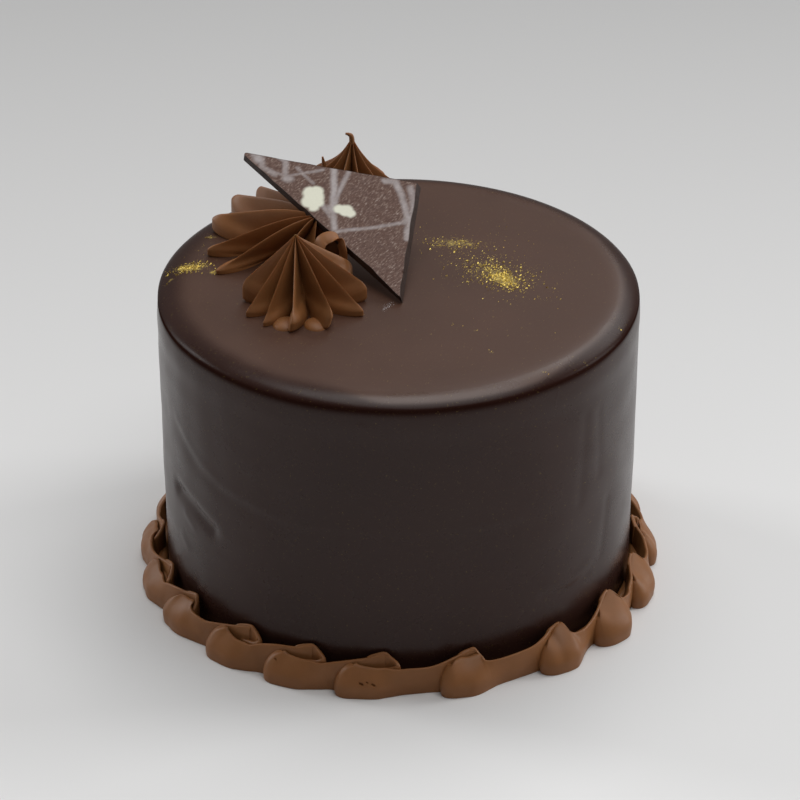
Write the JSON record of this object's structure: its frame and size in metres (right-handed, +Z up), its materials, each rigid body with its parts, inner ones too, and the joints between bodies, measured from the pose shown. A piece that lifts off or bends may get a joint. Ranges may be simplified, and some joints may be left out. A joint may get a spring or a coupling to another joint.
{
  "type": "chocolate truffle cake",
  "caption": "Round chocolate-glazed truffle cake with a piped ruffle border round its foot, piped rosettes and a leaning triangular chocolate plaque on top.",
  "frame": {"origin": "middle of the drum's flat underside, where the cake rests", "axes": "+Z up, along the drum's axis; the front of the cake, as pictured, faces -Y and +X is to its right"},
  "size_m": [0.1674, 0.1659, 0.1281],
  "materials": {
    "glaze": "satin dark chocolate ganache glaze",
    "buttercream": "smooth matte chocolate buttercream",
    "plaque": "dark chocolate sheet with pale marbling and small glossy flecks"
  },
  "bodies": {
    "root": {"cake": "glaze", "ruffle_border": "buttercream", "rosette_front": "buttercream", "rosette_left": "buttercream", "rosette_back": "buttercream", "plaque": "plaque"}
  },
  "joints": []
}
